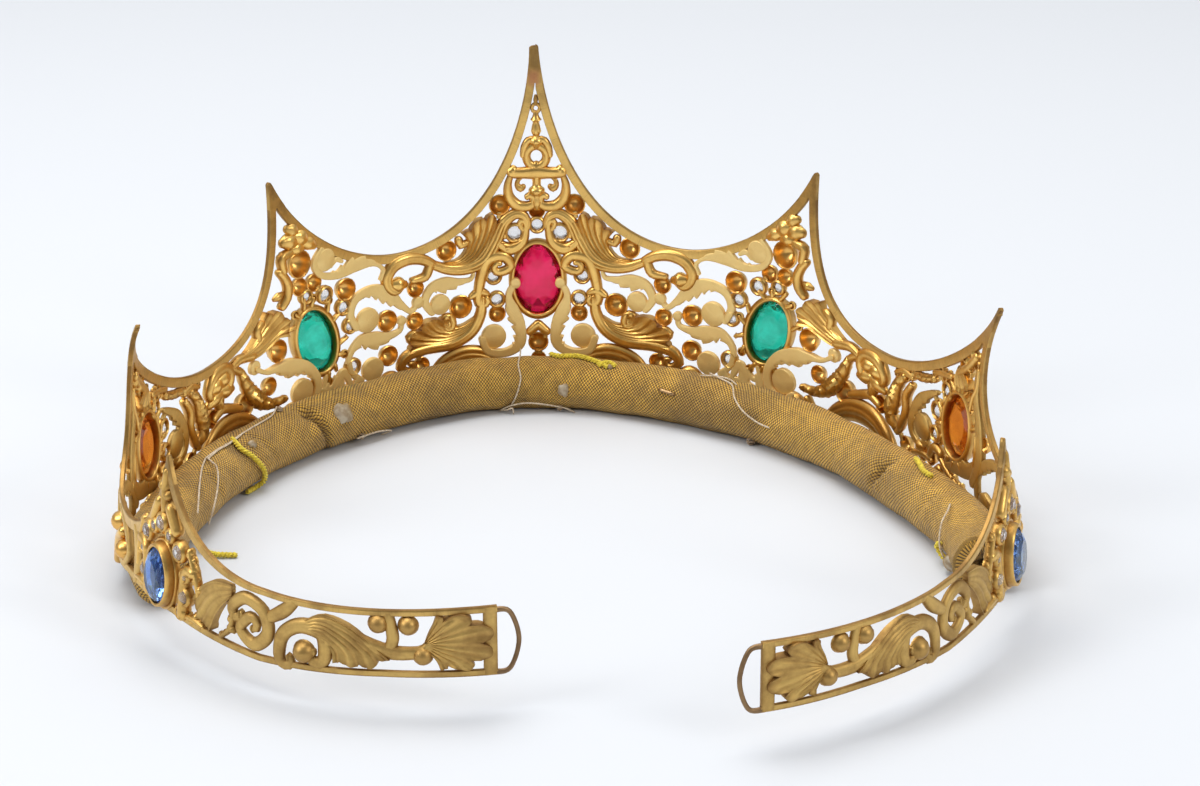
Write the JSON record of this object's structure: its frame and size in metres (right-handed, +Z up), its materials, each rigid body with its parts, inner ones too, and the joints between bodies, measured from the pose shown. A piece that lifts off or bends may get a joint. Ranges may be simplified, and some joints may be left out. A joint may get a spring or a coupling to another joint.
{
  "type": "statue crown",
  "caption": "Open gilt-brass openwork crown for a statue with horn-shaped peaks, oval stones, clear stones, pierced tails and a padded cloth roll inside the lower edge",
  "frame": {"origin": "centre of the crown's box in plan, on the surface that it rests on", "axes": "+Z up; +Y to the crown's front, the side of the tallest peak; +X to the wearer's right, which is the picture's right"},
  "size_m": [0.1743, 0.1802, 0.081],
  "materials": {
    "gilt_brass": "aged gilt stamped and pierced brass, warm gold with brown patina",
    "galloon_cloth": "coarse gold-yellow plain weave wrapped on the bias round a stuffed roll",
    "ruby": "pink-red faceted glass",
    "green": "emerald green faceted glass",
    "amber": "orange faceted glass",
    "blue": "sapphire blue faceted glass",
    "clear": "clear cut glass"
  },
  "bodies": {
    "root": {"openwork_band": "gilt_brass", "padded_roll": "galloon_cloth", "ruby_stone": "ruby", "green_stone_left": "green", "green_stone_right": "green", "amber_stone_left": "amber", "amber_stone_right": "amber", "blue_stone_left": "blue", "blue_stone_right": "blue", "rhinestone_01": "clear", "rhinestone_02_left": "clear", "rhinestone_02_right": "clear", "rhinestone_03_left": "clear", "rhinestone_03_right": "clear", "rhinestone_04_left": "clear", "rhinestone_04_right": "clear", "rhinestone_05_left": "clear", "rhinestone_05_right": "clear", "rhinestone_06_left": "clear", "rhinestone_06_right": "clear", "rhinestone_07_left": "clear", "rhinestone_07_right": "clear", "rhinestone_08_left": "clear", "rhinestone_08_right": "clear", "rhinestone_09_left": "clear", "rhinestone_09_right": "clear", "rhinestone_10_left": "clear", "rhinestone_10_right": "clear", "rhinestone_11_left": "clear", "rhinestone_11_right": "clear", "rhinestone_12_left": "clear", "rhinestone_12_right": "clear", "rhinestone_13_left": "clear", "rhinestone_13_right": "clear", "rhinestone_14_left": "clear", "rhinestone_14_right": "clear", "rhinestone_15_left": "clear", "rhinestone_15_right": "clear", "rhinestone_16_left": "clear", "rhinestone_16_right": "clear", "rhinestone_17_left": "clear", "rhinestone_17_right": "clear"}
  },
  "joints": []
}
